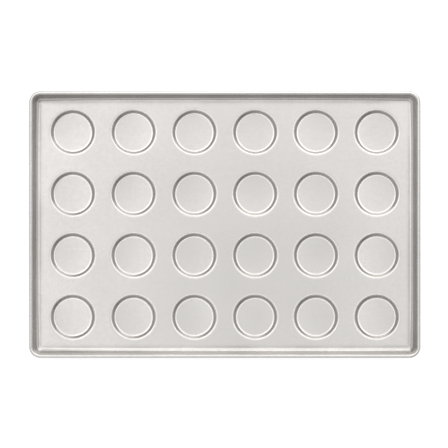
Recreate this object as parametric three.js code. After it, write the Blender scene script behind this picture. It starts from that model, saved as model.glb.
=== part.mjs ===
// Hamburger bun tray: one drawn steel sheet with rows of shallow round cups, and the wire that
// the sheet's edge is curled over to make a stiff, safe rim.
// Millimetres, +Z up. The origin is at the middle of the plane that the cups stand on, and +X runs
// along the rows of cups.
import * as THREE from "three";

// Sheet
const SHEET_THICKNESS = 0.6;

// Cups, drawn down from the deck
const COLUMNS = 6;
const ROWS = 4;
const CUP_MOUTH_DIAMETER = 80; // where the deck starts to bend down
const CUP_DEPTH = 9.5; // deck to cup floor
const CUP_WALL_ANGLE = 66; // degrees from the deck
const CUP_MOUTH_BEND = 4; // inside bend radius
const CUP_FLOOR_BEND = 3; // inside bend radius

// Deck, the flat of the sheet between and around the cups
const WEB_X = 23; // between neighbours in a row
const WEB_Y = 24.3; // between rows
const DECK_MARGIN_X = 15.5; // from an end cup to the bend of the rim wall
const DECK_MARGIN_Y = 12;
const DECK_CORNER_RADIUS = 4.5;

// Rim wall and the curl on top of it
const RIM_HEIGHT = 25.4; // deck to the top of the curl
const RIM_WALL_ANGLE = 78; // degrees from the deck
const RIM_BEND = 6; // inside bend radius between deck and wall
const CURL_TURN = 288; // degrees that the edge turns round the wire

// Wire in the curl, one length whose ends meet at the middle of the back
const WIRE_DIAMETER = 4;
const WIRE_CLEARANCE = 0.3; // between the wire and the inside of the curl
const WIRE_END_GAP = 1;

// Flat facets that stand for the round stretches
const CUP_SIDES = 24;
const CUP_BEND_STEPS = 1;
const CORNER_STEPS = 5;
const RIM_BEND_STEPS = 3;
const CURL_STEPS = 10;
const WIRE_SIDES = 8;

const { degToRad } = THREE.MathUtils;
const cupPitchX = CUP_MOUTH_DIAMETER + WEB_X;
const cupPitchY = CUP_MOUTH_DIAMETER + WEB_Y;
const deckHalfX = ((COLUMNS - 1) * cupPitchX + CUP_MOUTH_DIAMETER) / 2 + DECK_MARGIN_X;
const deckHalfY = ((ROWS - 1) * cupPitchY + CUP_MOUTH_DIAMETER) / 2 + DECK_MARGIN_Y;
const deckMiddle = SHEET_THICKNESS / 2 + CUP_DEPTH; // height of the middle of the sheet at the deck
const curlInside = WIRE_DIAMETER / 2 + WIRE_CLEARANCE;

const UPPER = 1;
const LOWER = -1;

// The middle of the sheet in section, as it leaves the deck's edge: straight runs and bends.
// Each station has its distance from that edge, its height and its heading in radians.
class BendLine {
  constructor() {
    this.stations = [{ across: 0, height: deckMiddle, heading: 0 }];
  }

  get end() {
    return this.stations.at(-1);
  }

  straight(length) {
    const { across, height, heading } = this.end;
    this.stations.push({
      across: across + length * Math.cos(heading),
      height: height + length * Math.sin(heading),
      heading,
    });
    return this;
  }

  // A turn up is positive. The radius is the one on the inside of the bend.
  bend(insideRadius, turn, steps) {
    const { across, height, heading } = this.end;
    const radius = (insideRadius + SHEET_THICKNESS / 2) * Math.sign(turn);
    for (let step = 1; step <= steps; step++) {
      const now = heading + (turn * step) / steps;
      this.stations.push({
        across: across + radius * (Math.sin(now) - Math.sin(heading)),
        height: height + radius * (Math.cos(heading) - Math.cos(now)),
        heading: now,
      });
    }
    return this;
  }

  // One face of the sheet, half a thickness off the middle.
  face(side) {
    const off = (side * SHEET_THICKNESS) / 2;
    return this.stations.map(({ across, height, heading }) => ({
      across: across - off * Math.sin(heading),
      height: height + off * Math.cos(heading),
    }));
  }
}

// How far a bend of the middle line drops or climbs.
function bendRise(insideRadius, turn) {
  return (insideRadius + SHEET_THICKNESS / 2) * (1 - Math.cos(turn));
}

// Deck, bend, sloping wall, bend, cup floor.
function cupLine() {
  const turn = degToRad(CUP_WALL_ANGLE);
  const wallDrop = CUP_DEPTH - bendRise(CUP_MOUTH_BEND, turn) - bendRise(CUP_FLOOR_BEND, turn);
  return new BendLine()
    .bend(CUP_MOUTH_BEND, -turn, CUP_BEND_STEPS)
    .straight(wallDrop / Math.sin(turn))
    .bend(CUP_FLOOR_BEND, turn, CUP_BEND_STEPS);
}

// Deck, bend, sloping wall up to where the curl starts.
function rimWallLine() {
  const turn = degToRad(RIM_WALL_ANGLE);
  const wallRise = RIM_HEIGHT - bendRise(RIM_BEND, turn) - bendRise(curlInside, turn);
  return new BendLine()
    .bend(RIM_BEND, turn, RIM_BEND_STEPS)
    .straight(wallRise / Math.sin(turn));
}

// The wall, then the curl over the wire.
function rimLine() {
  return rimWallLine().bend(curlInside, -degToRad(CURL_TURN), CURL_STEPS);
}

// A level loop round the tray, outside the deck's edge by across, counter-clockwise from above.
function trayLoop({ across, height }) {
  const radius = DECK_CORNER_RADIUS + across;
  const points = [];
  for (const [signX, signY, start] of [[1, 1, 0], [-1, 1, 90], [-1, -1, 180], [1, -1, 270]]) {
    const centreX = signX * (deckHalfX - DECK_CORNER_RADIUS);
    const centreY = signY * (deckHalfY - DECK_CORNER_RADIUS);
    for (let step = 0; step <= CORNER_STEPS; step++) {
      const angle = degToRad(start + (90 * step) / CORNER_STEPS);
      points.push(
        new THREE.Vector3(
          centreX + radius * Math.cos(angle),
          centreY + radius * Math.sin(angle),
          height,
        ),
      );
    }
  }
  return points;
}

// A level loop round a cup, inside its mouth by across, counter-clockwise from above.
function cupLoop(centre, { across, height }) {
  const radius = CUP_MOUTH_DIAMETER / 2 - across;
  return Array.from({ length: CUP_SIDES }, (_, side) => {
    const angle = (2 * Math.PI * side) / CUP_SIDES;
    return new THREE.Vector3(
      centre.x + radius * Math.cos(angle),
      centre.y + radius * Math.sin(angle),
      height,
    );
  });
}

// The faces of one solid, gathered from loops of points.
class Skin {
  corners = [];

  triangle(a, b, c) {
    for (const point of [a, b, c]) this.corners.push(...point.toArray());
  }

  // The band between two closed loops of as many points, facing up when inner lies within outer.
  band(inner, outer) {
    inner.forEach((point, i) => {
      const next = (i + 1) % inner.length;
      this.triangle(point, outer[i], outer[next]);
      this.triangle(point, outer[next], inner[next]);
    });
  }

  // A flat face inside a level outline, with holes, facing up or down.
  flat(outline, holes, side) {
    const points = [outline, ...holes].flat();
    const level = (loop) => loop.map(({ x, y }) => new THREE.Vector2(x, y));
    for (const [a, b, c] of THREE.ShapeUtils.triangulateShape(level(outline), holes.map(level))) {
      const [p, q, r] = [points[a], points[b], points[c]];
      const turnsLeft = (q.x - p.x) * (r.y - p.y) - (q.y - p.y) * (r.x - p.x) > 0;
      if (turnsLeft === (side === UPPER)) this.triangle(p, q, r);
      else this.triangle(p, r, q);
    }
  }

  mesh(name, material) {
    const geometry = new THREE.BufferGeometry();
    geometry.setAttribute("position", new THREE.Float32BufferAttribute(this.corners, 3));
    geometry.computeVertexNormals();
    const mesh = new THREE.Mesh(geometry, material);
    mesh.name = name;
    return mesh;
  }
}

function cupCentres() {
  const centres = [];
  for (let row = 0; row < ROWS; row++) {
    for (let column = 0; column < COLUMNS; column++) {
      centres.push(
        new THREE.Vector2(
          (column - (COLUMNS - 1) / 2) * cupPitchX,
          (row - (ROWS - 1) / 2) * cupPitchY,
        ),
      );
    }
  }
  return centres;
}

// The drawn sheet: cups and deck on both faces, then the rim from the deck's upper edge round the
// sheet's cut edge inside the curl to the deck's lower edge.
function traySheet(material) {
  const skin = new Skin();
  const line = cupLine();
  const rim = rimLine();
  for (const side of [UPPER, LOWER]) {
    const mouths = [];
    for (const centre of cupCentres()) {
      const loops = line.face(side).map((station) => cupLoop(centre, station));
      mouths.push(loops[0]);
      loops.slice(1).forEach((inner, i) => {
        if (side === UPPER) skin.band(inner, loops[i]);
        else skin.band(loops[i], inner);
      });
      skin.flat(loops.at(-1), [], side);
    }
    skin.flat(trayLoop(rim.face(side)[0]), mouths, side);
  }
  const round = [...rim.face(UPPER), ...rim.face(LOWER).reverse()].map(trayLoop);
  round.slice(1).forEach((outer, i) => skin.band(round[i], outer));
  return skin.mesh("tray_sheet", material);
}

// The rim wire: loops round the tray at each side of its section, cut open at its two ends.
function rimWire(material) {
  const { across, height, heading } = rimWallLine().end;
  const curlRadius = curlInside + SHEET_THICKNESS / 2;
  const centreAcross = across + curlRadius * Math.sin(heading);
  const centreHeight = height - curlRadius * Math.cos(heading);
  const backY = deckHalfY + centreAcross;
  const strands = Array.from({ length: WIRE_SIDES }, (_, side) => {
    const angle = (2 * Math.PI * (side + 0.5)) / WIRE_SIDES;
    const offAcross = (WIRE_DIAMETER / 2) * Math.cos(angle);
    const offHeight = (WIRE_DIAMETER / 2) * Math.sin(angle);
    const loop = trayLoop({ across: centreAcross + offAcross, height: centreHeight + offHeight });
    const cornerEnd = CORNER_STEPS + 1; // the back right corner comes first in a loop
    const end = (sign) =>
      new THREE.Vector3((sign * WIRE_END_GAP) / 2, backY + offAcross, centreHeight + offHeight);
    return [end(-1), ...loop.slice(cornerEnd), ...loop.slice(0, cornerEnd), end(1)];
  });
  const sections = strands[0].map((_, i) => strands.map((strand) => strand[i]));
  const skin = new Skin();
  sections.slice(1).forEach((section, i) => skin.band(sections[i], section));
  const [first, last] = [sections[0], sections.at(-1)];
  for (let side = 1; side + 1 < WIRE_SIDES; side++) {
    skin.triangle(first[0], first[side], first[side + 1]);
    skin.triangle(last[0], last[side + 1], last[side]);
  }
  return skin.mesh("rim_wire", material);
}

const aluminisedSteel = new THREE.MeshStandardMaterial({
  color: 0xd9d7d2,
  roughness: 0.34,
  metalness: 1,
});
const drawnWire = new THREE.MeshStandardMaterial({
  color: 0xa9a8a4,
  roughness: 0.45,
  metalness: 1,
});

const tray = new THREE.Group();
tray.add(traySheet(aluminisedSteel), rimWire(drawnWire));

export default tray;
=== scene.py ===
import math

import bpy
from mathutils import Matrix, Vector


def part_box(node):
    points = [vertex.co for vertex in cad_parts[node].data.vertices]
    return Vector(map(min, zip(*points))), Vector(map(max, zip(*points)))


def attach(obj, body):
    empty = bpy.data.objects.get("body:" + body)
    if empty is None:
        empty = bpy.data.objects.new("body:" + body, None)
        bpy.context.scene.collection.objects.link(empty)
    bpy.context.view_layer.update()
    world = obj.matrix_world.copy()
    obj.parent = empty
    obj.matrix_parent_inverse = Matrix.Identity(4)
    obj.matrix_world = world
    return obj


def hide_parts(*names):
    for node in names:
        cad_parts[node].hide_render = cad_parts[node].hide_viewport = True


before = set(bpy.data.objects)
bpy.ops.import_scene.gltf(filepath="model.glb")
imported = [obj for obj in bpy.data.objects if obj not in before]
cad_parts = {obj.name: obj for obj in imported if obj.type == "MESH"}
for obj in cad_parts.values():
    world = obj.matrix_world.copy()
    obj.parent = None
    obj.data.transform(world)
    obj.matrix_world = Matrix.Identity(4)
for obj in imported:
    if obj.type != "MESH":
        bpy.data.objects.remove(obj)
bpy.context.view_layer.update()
scene = bpy.context.scene
scene.view_settings.view_transform = "Standard"

# The tray sheet: one sheet of bright aluminised steel. A press draws the cups down out of the flat
# deck, turns up the sloping wall round it, and curls the wall's edge outwards over the rim wire.

MM = 0.001
SHEET = 0.6 * MM
COLUMNS, ROWS = 6, 4
PITCH_X, PITCH_Y = 103 * MM, 104.3 * MM
CUP_DEPTH = 9.5 * MM
CUP_SLOPE = math.radians(69)
MOUTH_CORNER = 36.65 * MM  # radius at which the planes of deck and wall would meet
MOUTH_EASE, MOUTH_BEND = 4.2 * MM, 1.2 * MM  # how far the bend reaches along the deck and the wall
FLOOR_EASE, FLOOR_BEND = 4.8 * MM, 1 * MM
FLOOR_DISH = 0.45 * MM
DECK_CORNER = 1.8 * MM
WALL_SLOPE = math.radians(81.5)
WALL_EASE, WALL_BEND = 7.8 * MM, 5 * MM
CORNER_SOFTNESS = 1.1  # how much further the bend reaches up the wall in the drawn corners
CORNER_NEARNESS = 8  # and how soon that fades along the sides
WIRE_RADIUS = 2 * MM
WIRE_GAP = 0.7 * MM  # room between the wire and the curl round it
CURL_TURN = math.radians(288)
TOP_CLEARANCE = 0.01 * MM  # keeps the curl just under the top of the CAD box

tray_low, tray_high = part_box("tray_sheet")
half_sheet = SHEET / 2
deck_middle = tray_low.z + CUP_DEPTH + half_sheet
cup_wall_rise = CUP_DEPTH - FLOOR_DISH - (MOUTH_BEND + FLOOR_BEND) * math.sin(CUP_SLOPE)
floor_corner = MOUTH_CORNER - (CUP_DEPTH - FLOOR_DISH) / math.tan(CUP_SLOPE)
curl = WIRE_RADIUS + WIRE_GAP + half_sheet
curl_middle_z = tray_high.z - half_sheet - curl - TOP_CLEARANCE
wall_rise = curl_middle_z + curl * math.cos(WALL_SLOPE) - deck_middle
curl_middle = WALL_EASE + wall_rise / math.tan(WALL_SLOPE) + curl * math.sin(WALL_SLOPE)
rim_run = curl_middle + curl + half_sheet
deck_half_x = tray_high.x - rim_run
deck_half_y = tray_high.y - rim_run


class Socket:
    """A value in a node tree. Sums, products and the like of such values become Math nodes."""

    def __init__(self, tree, output=None):
        self.tree = tree
        self.output = output

    def node(self, kind, inputs=None, result=0, **settings):
        """Adds a node: its settings first, then a value, a link or several links for each socket."""
        made = self.tree.nodes.new(kind)
        for name, value in settings.items():
            setattr(made, name, value)
        for name, value in (inputs or {}).items():
            for one in value if isinstance(value, list) else [value]:
                if isinstance(one, Socket):
                    self.tree.links.new(one.output, made.inputs[name])
                else:
                    made.inputs[name].default_value = one
        return Socket(self.tree, made.outputs[result] if made.outputs else None)

    def out(self, name):
        """Another output of the same node."""
        return Socket(self.tree, self.output.node.outputs[name])

    def math(self, operation, *values):
        return self.node("ShaderNodeMath", dict(enumerate(values)), operation=operation)

    def __add__(self, other):
        return self.math("ADD", self, other)

    def __radd__(self, other):
        return self.math("ADD", other, self)

    def __sub__(self, other):
        return self.math("SUBTRACT", self, other)

    def __rsub__(self, other):
        return self.math("SUBTRACT", other, self)

    def __mul__(self, other):
        return self.math("MULTIPLY", self, other)

    def __rmul__(self, other):
        return self.math("MULTIPLY", other, self)

    def __truediv__(self, other):
        return self.math("DIVIDE", self, other)

    def __pow__(self, other):
        return self.math("POWER", self, other)

    def __abs__(self):
        return self.math("ABSOLUTE", self)

    def sin(self):
        return self.math("SINE", self)

    def cos(self):
        return self.math("COSINE", self)

    def tan(self):
        return self.math("TANGENT", self)

    def ramp(self, start, end):
        """From 0 at start to 1 at end, and level outside them."""
        limits = {"Value": self, "From Min": start, "From Max": end}
        return self.node("ShaderNodeMapRange", limits, clamp=True)

    def axes(self):
        """The x, y and z of a vector."""
        apart = self.node("ShaderNodeSeparateXYZ", {0: self})
        return apart, apart.out("Y"), apart.out("Z")


def vector(x, y, z):
    """A vector out of three numbers, at least one of them a Socket."""
    some = next(part for part in (x, y, z) if isinstance(part, Socket))
    return some.node("ShaderNodeCombineXYZ", {0: x, 1: y, 2: z})


def geometry_tree(name, sizes):
    """An empty geometry tree with an input for each size, and those inputs as sockets."""
    tree = bpy.data.node_groups.new(name, "GeometryNodeTree")
    tree.interface.new_socket("Geometry", in_out="OUTPUT", socket_type="NodeSocketGeometry")
    for size in sizes:
        tree.interface.new_socket(size, in_out="INPUT", socket_type="NodeSocketFloat")
    entry = tree.nodes.new("NodeGroupInput")
    return tree, {size: Socket(tree, entry.outputs[size]) for size in sizes}


def grid(some, across, along):
    """A mesh with unit steps, and each point's step counts from the first corner."""
    counts = {"Size X": across, "Size Y": along, "Vertices X": across + 1, "Vertices Y": along + 1}
    mesh = some.node("GeometryNodeMeshGrid", counts)
    x, y, _ = some.node("GeometryNodeInputPosition").axes()
    return mesh, x + across / 2, y + along / 2


def moved(mesh, position):
    return mesh.node("GeometryNodeSetPosition", {"Geometry": mesh, "Position": position})


def joined(*parts):
    return parts[0].node("GeometryNodeJoinGeometry", {0: list(parts)})


def mirrored(mesh, scale):
    """A mesh and its mirror image, with the image's faces turned the right way out again."""
    image = mesh.node("GeometryNodeTransform", {"Geometry": mesh, "Scale": scale})
    return joined(mesh, image.node("GeometryNodeFlipFaces", {0: image}))


WELD = 0.01 * MM


def welded(mesh):
    return mesh.node("GeometryNodeMergeByDistance", {"Geometry": mesh, "Distance": WELD})


def stored(mesh, name, value):
    """Keeps a number at every point of a mesh, for its material to read."""
    inputs = {"Geometry": mesh, "Name": name, "Value": value}
    return mesh.node("GeometryNodeStoreNamedAttribute", inputs, data_type="FLOAT", domain="POINT")


def finished(tree, mesh, material):
    """Ends a tree: real geometry, smooth, in its material."""
    mesh = mesh.node("GeometryNodeRealizeInstances", {0: mesh})
    mesh = mesh.node("GeometryNodeSetShadeSmooth", {"Geometry": mesh})
    mesh = mesh.node("GeometryNodeSetMaterial", {"Geometry": mesh, "Material": material})
    end = tree.nodes.new("NodeGroupOutput")
    tree.links.new(mesh.output, end.inputs[0])


SHARP_EDGE = math.radians(40)


def piece_from(name, tree, sizes, thickness=None):
    """A plain mesh piece of what a geometry tree makes with these sizes, given a wall if asked."""
    piece = bpy.data.objects.new(name, bpy.data.meshes.new(name))
    scene.collection.objects.link(piece)
    shape = piece.modifiers.new("shape", "NODES")
    shape.node_group = tree
    for socket in tree.interface.items_tree:
        if socket.in_out == "INPUT":
            shape[socket.identifier] = sizes[socket.name]
    if thickness:
        wall = piece.modifiers.new("wall", "SOLIDIFY")
        wall.thickness = thickness
        wall.offset = 0
        wall.use_even_offset = True
    evaluated = piece.evaluated_get(bpy.context.evaluated_depsgraph_get())
    mesh = bpy.data.meshes.new_from_object(evaluated)
    mesh.set_sharp_from_angle(angle=SHARP_EDGE)
    piece.modifiers.clear()
    piece.data = mesh
    return piece


def new_material(name):
    made = bpy.data.materials.new(name)
    made.use_nodes = True
    made.node_tree.nodes.clear()
    return made, Socket(made.node_tree)


def attribute(some, name):
    return some.node("ShaderNodeAttribute", result="Fac", attribute_name=name)


def clouds(place, length, stretch=(1, 1, 1), detail=2.0):
    """Soft random spots of about this length, from 0 to 1, stretched along the axes if asked."""
    scale = tuple(1 / (length * along) for along in stretch)
    apart = place.node("ShaderNodeMapping", {"Vector": place, "Scale": scale})
    return place.node("ShaderNodeTexNoise", {"Vector": apart, "Scale": 1.0, "Detail": detail})


def crystals(place, length):
    """A random level from 0 to 1 for each crystal of a coating, about this long."""
    cells = place.node("ShaderNodeTexVoronoi", {"Vector": place, "Scale": 1 / length}, result="Color")
    level, _, _ = cells.axes()
    return level


LINE_HALF_WIDTH = 0.02  # in the level of the spots whose outlines the hairlines follow
BUNCH_SQUEEZE = (1, 0.3, 1)
BUNCH_EDGE = 0.1


def hairlines(place, length, width, turn, share):
    """Fine straight scratches in one direction, 1 on the line, in bunches on this share of a surface."""
    turned = place.node("ShaderNodeMapping", {"Vector": place, "Rotation": (0, 0, turn)})
    field = clouds(turned, width, (length / width, 1, 1), 0.0)
    line = 1 - abs(field - 0.5).ramp(0, LINE_HALF_WIDTH)
    bunches = clouds(turned, length, BUNCH_SQUEEZE, 1.0)
    return line * bunches.ramp(1 - share - BUNCH_EDGE, 1 - share + BUNCH_EDGE)


def summed(base, weights, marks):
    """A base value plus each named mark of a surface times its weight."""
    for name, weight in weights.items():
        base = base + weight * marks[name]
    return base


def bare_metal(some, dull, colours, rough, height):
    """Ends a metal's material: a colour between two by its dullness, and a height in metres."""
    colour = {0: dull, 6: colours[0], 7: colours[1]}
    bump = {"Strength": 1.0, "Distance": 1.0, "Height": height}
    shader = some.node("ShaderNodeBsdfPrincipled", {
        "Base Color": some.node("ShaderNodeMix", colour, result=2, data_type="RGBA"),
        "Metallic": 1.0,
        "Roughness": rough,
        "Normal": some.node("ShaderNodeBump", bump),
    })
    some.node("ShaderNodeOutputMaterial", {"Surface": shader})


SHEET_LIGHT, SHEET_DULL = (0.7, 0.679, 0.656, 1), (0.45, 0.436, 0.422, 1)
GRAIN_WIDTH, GRAIN_STRETCH = 0.35 * MM, (90, 1, 4)
HAZE_LENGTH, HAZE_EDGE = 110 * MM, (0.35, 0.7)
WAVE_LENGTH = 26 * MM
SHEET_CRYSTAL = 5 * MM
SCRATCHES = [  # length, width, direction and share of the surface
    (60 * MM, 1.1 * MM, 0.5, 0.3),
    (45 * MM, 0.9 * MM, -0.9, 0.25),
]
# Painted shade: a patchy darker band on the deck where it meets the rim's wall, standing in for the
# shade the wall throws there.
PAINTED_SHADE_START = -4 * MM, -1.5 * MM  # where it sets in on the bend, measured inwards from the deck's edge
PAINTED_SHADE_END = -1 * MM, 8 * MM  # and where it thins out over the deck
PAINTED_SHADE_FALL = 3
PAINTED_SHADE_PATCHES = 0.2, 0.8
SHEET_DULLNESS = 0.14
DULLED_BY = {
    "mottle": 0.12,
    "haze patches": 0.15,
    "grain": 0.3,
    "drawn": 0.07,
    # burnish and painted highlight: the bends are lightened where bright lines of reflection run along
    # them
    "crest": -0.31,
    # painted shade: darkens the deck next to the rim's wall
    "painted_shade": 1.0,
    "scratches": 0.15,
}
SHEET_ROUGHNESS = 0.17
ROUGHENED_BY = {
    "haze": 0.04,
    "mottle": 0.03,
    "grain": 0.06,
    "drawn": 0.06,
    "scratches": 0.1,
    "crest": -0.1,
}
RAISED_BY = {"grain": 0.001 * MM, "wave": 0.02 * MM, "scratches": -0.002 * MM}


def aluminised_sheet():
    """Bright hot-dipped sheet: rolling grain, faint crystal mottle, haze from handling, hairlines.
    The bends are lighter and smoother, partly burnish and partly painted highlight; drawn walls are
    duller; painted shade darkens the deck by the rim's wall."""
    made, sheet = new_material("bright_aluminised_sheet")
    place = sheet.node("ShaderNodeTexCoord", result="Object")
    haze = clouds(place, HAZE_LENGTH, detail=3.0)
    first, second = [hairlines(place, *scratch) for scratch in SCRATCHES]
    x, y, _ = place.axes()
    inside = sheet.math("MINIMUM", deck_half_x - abs(x), deck_half_y - abs(y))
    # Painted shade: darkest at the deck's edge and fading inwards over the deck.
    painted_shade = (1 - inside.ramp(*PAINTED_SHADE_END)) ** PAINTED_SHADE_FALL * inside.ramp(*PAINTED_SHADE_START)
    marks = {
        "grain": clouds(place, GRAIN_WIDTH, GRAIN_STRETCH),
        "haze": haze,
        "haze patches": haze.ramp(*HAZE_EDGE),
        "wave": clouds(place, WAVE_LENGTH, detail=1.0),
        "mottle": crystals(place, SHEET_CRYSTAL),
        "scratches": first + second,
        "painted_shade": painted_shade * haze.ramp(*PAINTED_SHADE_PATCHES),
        "crest": attribute(sheet, "crest"),
        "drawn": attribute(sheet, "drawn"),
    }
    dull = summed(SHEET_DULLNESS, DULLED_BY, marks).ramp(0, 1)
    rough = summed(SHEET_ROUGHNESS, ROUGHENED_BY, marks)
    height = summed(0, RAISED_BY, marks)
    bare_metal(sheet, dull, (SHEET_LIGHT, SHEET_DULL), rough, height)
    return made


TURN_STEPS = 64
FLOOR_STEPS = 4
BEND_STEPS = 6
DECK_STEPS = 4
# Lightening of the bends: partly burnish, partly a painted highlight on the bright bend lines.
MOUTH_BURNISH_AND_HIGHLIGHT = 0.6
DRAWN_LATE = 3  # how late in the floor's bend the drawn wall begins
tray_sizes = {
    "Pitch X": PITCH_X,
    "Pitch Y": PITCH_Y,
    "Floor radius": floor_corner - FLOOR_EASE,
    "Floor height": tray_low.z + half_sheet,
    "Floor dish": FLOOR_DISH,
    "Floor ease": FLOOR_EASE,
    "Floor bend": FLOOR_BEND,
    "Cup slope": CUP_SLOPE,
    "Cup wall rise": cup_wall_rise,
    "Mouth bend": MOUTH_BEND,
    "Mouth ease": MOUTH_EASE,
    "Deck height": deck_middle,
    "Deck half x": deck_half_x,
    "Deck half y": deck_half_y,
    "Deck corner": DECK_CORNER,
    "Wall ease": WALL_EASE,
    "Wall bend": WALL_BEND,
    "Wall slope": WALL_SLOPE,
    "Wall rise": wall_rise,
    "Curl": curl,
    "Curl turn": CURL_TURN,
}
tray_tree, size = geometry_tree("pressed_tray", tray_sizes)
start = Socket(tray_tree)


def hump(share):
    """1 halfway through a bend and 0 at both its ends."""
    return (4 * share * (1 - share)) ** 2


def cup_cell():
    """One cup with the deck round it, out to half a pitch each way."""
    low = FLOOR_STEPS, FLOOR_STEPS + BEND_STEPS
    high = low[1] + 1, low[1] + 1 + BEND_STEPS
    edge = high[1] + DECK_STEPS
    mesh, ring, step = grid(start, edge, TURN_STEPS)
    floor = 1 - (1 - ring.ramp(0, low[0])) ** 2
    up = ring.ramp(*low)
    wall = ring.ramp(low[1], high[0])
    over = ring.ramp(*high)
    deck = ring.ramp(high[1], edge) ** 2
    rise = size["Floor bend"] * up ** 2 + size["Mouth bend"] * (1 - (1 - over) ** 2)
    rise = rise * size["Cup slope"].sin() + size["Cup wall rise"] * wall
    radius = size["Floor radius"] * floor + rise / size["Cup slope"].tan()
    radius = radius + size["Floor ease"] * (1 - (1 - up) ** 2) + size["Mouth ease"] * over ** 2
    height = size["Floor height"] + size["Floor dish"] * floor ** 2 + rise
    turn = step * (2 * math.pi / TURN_STEPS)
    cosine, sine = turn.cos(), turn.sin()
    square = start.math("MAXIMUM", abs(cosine), abs(sine))
    x = cosine * (radius * (1 - deck) + size["Pitch X"] / 2 / square * deck)
    y = sine * (radius * (1 - deck) + size["Pitch Y"] / 2 / square * deck)
    # Lighter along the floor's bend and the mouth's bend: partly burnish, partly a painted highlight on
    # the bright bend lines.
    mesh = stored(mesh, "crest", MOUTH_BURNISH_AND_HIGHLIGHT * hump(over) + hump(up))
    mesh = stored(mesh, "drawn", up ** DRAWN_LATE - over)
    return welded(moved(mesh, vector(x, y, height)))


def cup_grid():
    """The cups with their deck, in rows and columns."""
    spread = {"Size X": (COLUMNS - 1) * size["Pitch X"], "Size Y": (ROWS - 1) * size["Pitch Y"]}
    counts = {"Vertices X": COLUMNS, "Vertices Y": ROWS}
    places = start.node("GeometryNodeMeshGrid", {**spread, **counts})
    cells = start.node("GeometryNodeInstanceOnPoints", {"Points": places, "Instance": cup_cell()})
    return welded(start.node("GeometryNodeRealizeInstances", {0: cells}))


SIDE_X_STEPS = 16
SIDE_Y_STEPS = 12
CORNER_STEPS = 12
WALL_BEND_STEPS = 12
CURL_STEPS = 28
# Lightening of the wall's foot and the curl: partly burnish, partly a painted highlight on the bright
# bend lines.
FOOT_BURNISH_AND_HIGHLIGHT, CURL_BURNISH_AND_HIGHLIGHT = 0.3, 0.5
CURL_BLEND = 0.15  # share of the curl over which its finish sets in
DECK_EDGE = 0.6 * MM  # strip of deck made with the rim
DECK_SEAM = 0.8 * MM  # and the one that joins it to the cups' deck


def rim():
    """A strip of deck edge, the wall and the curl, made as one quarter and mirrored twice."""
    corner = SIDE_Y_STEPS, SIDE_Y_STEPS + CORNER_STEPS
    wall = 1 + WALL_BEND_STEPS, 2 + WALL_BEND_STEPS
    edge = wall[1] + CURL_STEPS
    mesh, ring, step = grid(start, edge, corner[1] + SIDE_X_STEPS)
    slope = size["Wall slope"]
    up = ring.ramp(1, wall[0])
    curled = ring.ramp(wall[1], edge)
    share_x = 1 - step.ramp(corner[1], corner[1] + SIDE_X_STEPS)
    share_y = step.ramp(0, corner[0])
    softness = 1 + (share_y * share_x) ** CORNER_NEARNESS * CORNER_SOFTNESS
    bend_rise = size["Wall bend"] * softness * slope.sin()
    rise = bend_rise * up ** 2 + (size["Wall rise"] - bend_rise) * ring.ramp(*wall)
    over = slope - curled * size["Curl turn"]
    out = size["Deck corner"] - (1 - ring.ramp(0, 1)) * DECK_EDGE + rise / slope.tan()
    out = out + size["Wall ease"] * (1 - (1 - up) ** 2) + size["Curl"] * (slope.sin() - over.sin())
    height = size["Deck height"] + rise + size["Curl"] * (over.cos() - slope.cos())
    facing = step.ramp(*corner) * (math.pi / 2)
    x = (size["Deck half x"] - size["Deck corner"]) * share_x + out * facing.cos()
    y = (size["Deck half y"] - size["Deck corner"]) * share_y + out * facing.sin()
    finish = curled.ramp(0, CURL_BLEND)
    mesh = stored(mesh, "drawn", up - finish)
    # Lighter along the wall's foot and over the curl: partly burnish, partly a painted highlight on the
    # bright bend lines.
    mesh = stored(mesh, "crest", FOOT_BURNISH_AND_HIGHLIGHT * hump(up) + CURL_BURNISH_AND_HIGHLIGHT * finish)
    quarter = moved(mesh, vector(x, y, height))
    return welded(mirrored(mirrored(quarter, (-1, 1, 1)), (1, -1, 1)))


DECK_LEVEL = 1 * MM  # edges up to this far above the deck count as its own


def open_edges(mesh):
    """The edges of a mesh at deck height that have a face on one side only, as curves."""
    faces = start.node("GeometryNodeInputMeshEdgeNeighbors")
    single = start.math("COMPARE", faces, 1, 0.5)
    _, _, z = start.node("GeometryNodeInputPosition").axes()
    low = start.math("LESS_THAN", z, size["Deck height"] + DECK_LEVEL)
    return start.node("GeometryNodeMeshToCurve", {"Mesh": mesh, "Selection": single * low})


def pressed_tray():
    """The cups' deck, kept inside the rim, and the rim, with the gap between them filled."""
    cups, edge = cup_grid(), rim()
    x, y, z = start.node("GeometryNodeInputPosition").axes()
    kept = []
    for place, half in [(x, "Deck half x"), (y, "Deck half y")]:
        reach = size[half] - DECK_EDGE - DECK_SEAM
        kept.append(start.node("ShaderNodeClamp", {"Value": place, "Min": 0 - reach, "Max": reach}))
    cups = moved(cups, vector(*kept, z))
    margin = start.node("GeometryNodeFillCurve", {"Curve": joined(open_edges(cups), open_edges(edge))})
    margin = moved(margin, vector(x, y, size["Deck height"]))
    return welded(joined(cups, edge, margin))


finished(tray_tree, pressed_tray(), aluminised_sheet())
tray = piece_from("tray_sheet_pressed", tray_tree, tray_sizes, SHEET)
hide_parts("tray_sheet")
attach(tray, "root")

# The rim wire: one length of galvanised steel wire bent to the tray's outline. It lies inside the
# curl, and its two cut ends meet at the middle of the back.

END_GAP = 1 * MM
WIRE_SIDES = 16
WIRE_STEPS = 8
WIRE_LEGS = 9  # half the back, then corners and sides in turn, and the other half of the back
ZINC, ZINC_DULL = (0.68, 0.68, 0.67, 1), (0.45, 0.45, 0.44, 1)
ZINC_CRYSTAL = 1.5 * MM
SPOT_LENGTH, SPOT_EDGE = 9 * MM, (0.4, 0.7)
PIT_LENGTH, PIT_HEIGHT = 0.3 * MM, 0.004 * MM
ZINC_DULLED_BY = {"crystal": 0.4, "spots": 0.6}
ZINC_ROUGHNESS, ZINC_DULL_ROUGHNESS = 0.32, 0.2


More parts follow.
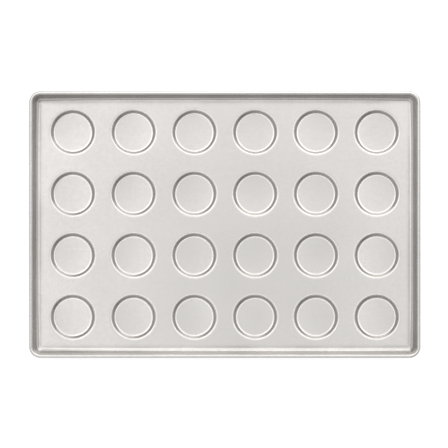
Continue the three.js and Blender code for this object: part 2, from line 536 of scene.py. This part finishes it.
def galvanised_wire():
    """Zinc over drawn steel: pale crystals, dull spots and a finely pitted skin."""
    made, zinc = new_material("galvanised_wire")
    place = zinc.node("ShaderNodeTexCoord", result="Object")
    marks = {
        "crystal": crystals(place, ZINC_CRYSTAL),
        "spots": clouds(place, SPOT_LENGTH, detail=3.0).ramp(*SPOT_EDGE),
    }
    dull = summed(0, ZINC_DULLED_BY, marks)
    height = PIT_HEIGHT * clouds(place, PIT_LENGTH, detail=1.0)
    bare_metal(zinc, dull, (ZINC, ZINC_DULL), ZINC_ROUGHNESS + ZINC_DULL_ROUGHNESS * dull, height)
    return made


wire_sizes = {
    "Half x": deck_half_x - DECK_CORNER,
    "Half y": deck_half_y - DECK_CORNER,
    "Corner": DECK_CORNER + curl_middle,
    "Height": curl_middle_z,
    "Radius": WIRE_RADIUS,
    "End gap": END_GAP,
}
wire_tree, wire_size = geometry_tree("bent_wire", wire_sizes)


def bent_wire():
    """A round bar from the back's middle clockwise round the tray, with a flat cap at each end."""
    half_x, half_y, half_gap = wire_size["Half x"], wire_size["Half y"], wire_size["End gap"] / 2
    count = WIRE_LEGS * WIRE_STEPS + 2
    mesh, side, step = grid(Socket(wire_tree), WIRE_SIDES, count)
    legs = [step.ramp(1 + WIRE_STEPS * leg, 1 + WIRE_STEPS * (leg + 1)) for leg in range(WIRE_LEGS)]
    along_x = half_gap + (half_x - half_gap) * (legs[0] + legs[8]) - 2 * half_x * legs[4]
    along_y = half_y * (1 - 2 * legs[2] + 2 * legs[6])
    facing = (1 - legs[1] - legs[3] - legs[5] - legs[7]) * (math.pi / 2)
    thick = wire_size["Radius"] * (step.ramp(0, 1) - step.ramp(count - 1, count))
    turn = side * (2 * math.pi / WIRE_SIDES)
    out = wire_size["Corner"] + thick * turn.cos()
    height = wire_size["Height"] + thick * turn.sin()
    x = along_x + out * facing.cos()
    y = along_y + out * facing.sin()
    return welded(moved(mesh, vector(x, y, height)))


finished(wire_tree, bent_wire(), galvanised_wire())
wire = piece_from("rim_wire_bent", wire_tree, wire_sizes)
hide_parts("rim_wire")
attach(wire, "root")

# The stage: a plain white table under the tray. It shines just enough to vanish into the white behind
# it, and still takes the tray's shadow.

TABLE_REACH = 8
TABLE_GLOW = 0.85
WHITE = (1, 1, 1, 1)
TABLE_PLAIN = (0.8, 0.8, 0.8, 1)  # as it lights what stands on it
TABLE_SHADED = (0.25, 0.25, 0.25, 1)  # what the shadow can take away where the table is seen
table_mesh = bpy.data.meshes.new("table")
around = [(-1, -1), (1, -1), (1, 1), (-1, 1)]
table_corners = [(x * TABLE_REACH, y * TABLE_REACH, tray_low.z) for x, y in around]
table_mesh.from_pydata(table_corners, [], [(0, 1, 2, 3)])
table = bpy.data.objects.new("table", table_mesh)
scene.collection.objects.link(table)

white_table, paint = new_material("white_table")
path = paint.node("ShaderNodeLightPath")
seen = paint.math("MAXIMUM", path.out("Is Camera Ray"), path.out("Is Glossy Ray"))
seen = paint.math("MAXIMUM", seen, path.out("Is Transmission Ray"))
plain = paint.node("ShaderNodeBsdfDiffuse", {"Color": TABLE_PLAIN})
glow = paint.node("ShaderNodeEmission", {"Color": WHITE, "Strength": TABLE_GLOW})
shaded = paint.node("ShaderNodeBsdfDiffuse", {"Color": TABLE_SHADED})
bright = paint.node("ShaderNodeAddShader", {0: glow, 1: shaded})
mix = paint.node("ShaderNodeMixShader", {0: seen, 1: plain, 2: bright})
paint.node("ShaderNodeOutputMaterial", {"Surface": mix})
table_mesh.materials.append(white_table)

# The light: a plain white studio. A broad panel hangs overhead, dim in its middle and reaching furthest
# to the back. The room is darker between it and the pale horizon, and a soft box stands behind the tray.

PANEL_MIDDLE = 0.5
MIDDLE_FORWARD = 0.03  # how far the dim middle lies to the front
PANEL_STEPS = [  # rise in level, which way it goes, and where on that way it starts and ends
    (0.5, "outwards", 0, 0.007),
    (0.17, "back", -0.05, 0.03),
    (0.23, "left", 0.01, 0.07),
    (0.45, "down", 0.016, 0.032),
    (0.24, "right", 0.1, 0.25),
    (-0.08, "back", 0.1, 0.25),
    (0.12, "front", 0.1, 0.25),
]
PANEL_EDGE = 0.91, 0.95
PANEL_BACK, BACK_EDGE = 0.26, (0, 0.5)  # how much further it reaches at the back
ROOM_LEVEL = 0.6
ROOM_STEPS = [(0.18, "down", 0.15, 0.5), (-0.38, "dark corner", 0, 1)]
CORNER_RIGHT, CORNER_FRONT = (-0.25, 0.6), (0.1, 0.6)
HORIZON = 0.08, 0.25


def stepped(level, steps, ways):
    """A level of light with its rises along the named ways."""
    for rise, way, first, last in steps:
        level = level + rise * ways[way].ramp(first, last)
    return level


world = bpy.data.worlds.new("studio")
scene.world = world
world.use_nodes = True
world.node_tree.nodes.clear()
sky = Socket(world.node_tree)
right, back, up = sky.node("ShaderNodeTexCoord").axes()
left, front = 0 - right, 0 - back
ways = {
    "right": right,
    "left": left,
    "back": back,
    "front": front,
    "down": 1 - up,
    "outwards": right ** 2 + (back + MIDDLE_FORWARD) ** 2,
    "dark corner": right.ramp(*CORNER_RIGHT) * front.ramp(*CORNER_FRONT),
}
panel = stepped(PANEL_MIDDLE, PANEL_STEPS, ways)
room = stepped(ROOM_LEVEL, ROOM_STEPS, ways)
room = room + (1 - room) * (1 - up.ramp(*HORIZON))
overhead = (up + PANEL_BACK * back.ramp(*BACK_EDGE)).ramp(*PANEL_EDGE)
level = room + (panel - room) * overhead
light = sky.node("ShaderNodeBackground", {"Color": WHITE, "Strength": level})
sky.node("ShaderNodeOutputWorld", {"Surface": light})

BOX_PLACE = (0.15, 0.65, 0.3)
BOX_WIDTH, BOX_HEIGHT = 1.5, 0.6
BOX_LEVEL = 1.25
FADE_WIDTH, FADE_HEIGHT = 0.35, 0.25  # share of the cloth over which it fades towards each edge
box = bpy.data.lights.new("soft_box", "AREA")
box.shape = "RECTANGLE"
box.size, box.size_y = BOX_WIDTH, BOX_HEIGHT
box.energy = BOX_LEVEL * math.pi * BOX_WIDTH * BOX_HEIGHT
box.use_nodes = True
box.node_tree.nodes.clear()
cloth = Socket(box.node_tree)
wide, tall, _ = cloth.node("ShaderNodeNewGeometry", result="Parametric").axes()
fade = (0.5 - abs(wide - 0.5)).ramp(0, FADE_WIDTH) * (0.5 - abs(tall - 0.5)).ramp(0, FADE_HEIGHT)
shine = cloth.node("ShaderNodeEmission", {"Color": WHITE, "Strength": fade})
cloth.node("ShaderNodeOutputLight", {"Surface": shine})
soft_box = bpy.data.objects.new("soft_box", box)
soft_box.location = BOX_PLACE
soft_box.rotation_euler = Vector(BOX_PLACE).to_track_quat("Z", "Y").to_euler()
soft_box.visible_camera = False
scene.collection.objects.link(soft_box)

# The camera: a long lens straight above the middle of the tray, far enough off that the cups near the
# edges are seen almost as straight from above as those in the middle.

CAMERA_HEIGHT = 2.6
CAMERA_ASIDE = -1.3 * MM, 1 * MM
LENS = 123
lens = bpy.data.cameras.new("camera")
lens.lens = LENS
camera = bpy.data.objects.new("camera", lens)
camera.location = (*CAMERA_ASIDE, CAMERA_HEIGHT)
scene.collection.objects.link(camera)
scene.camera = camera
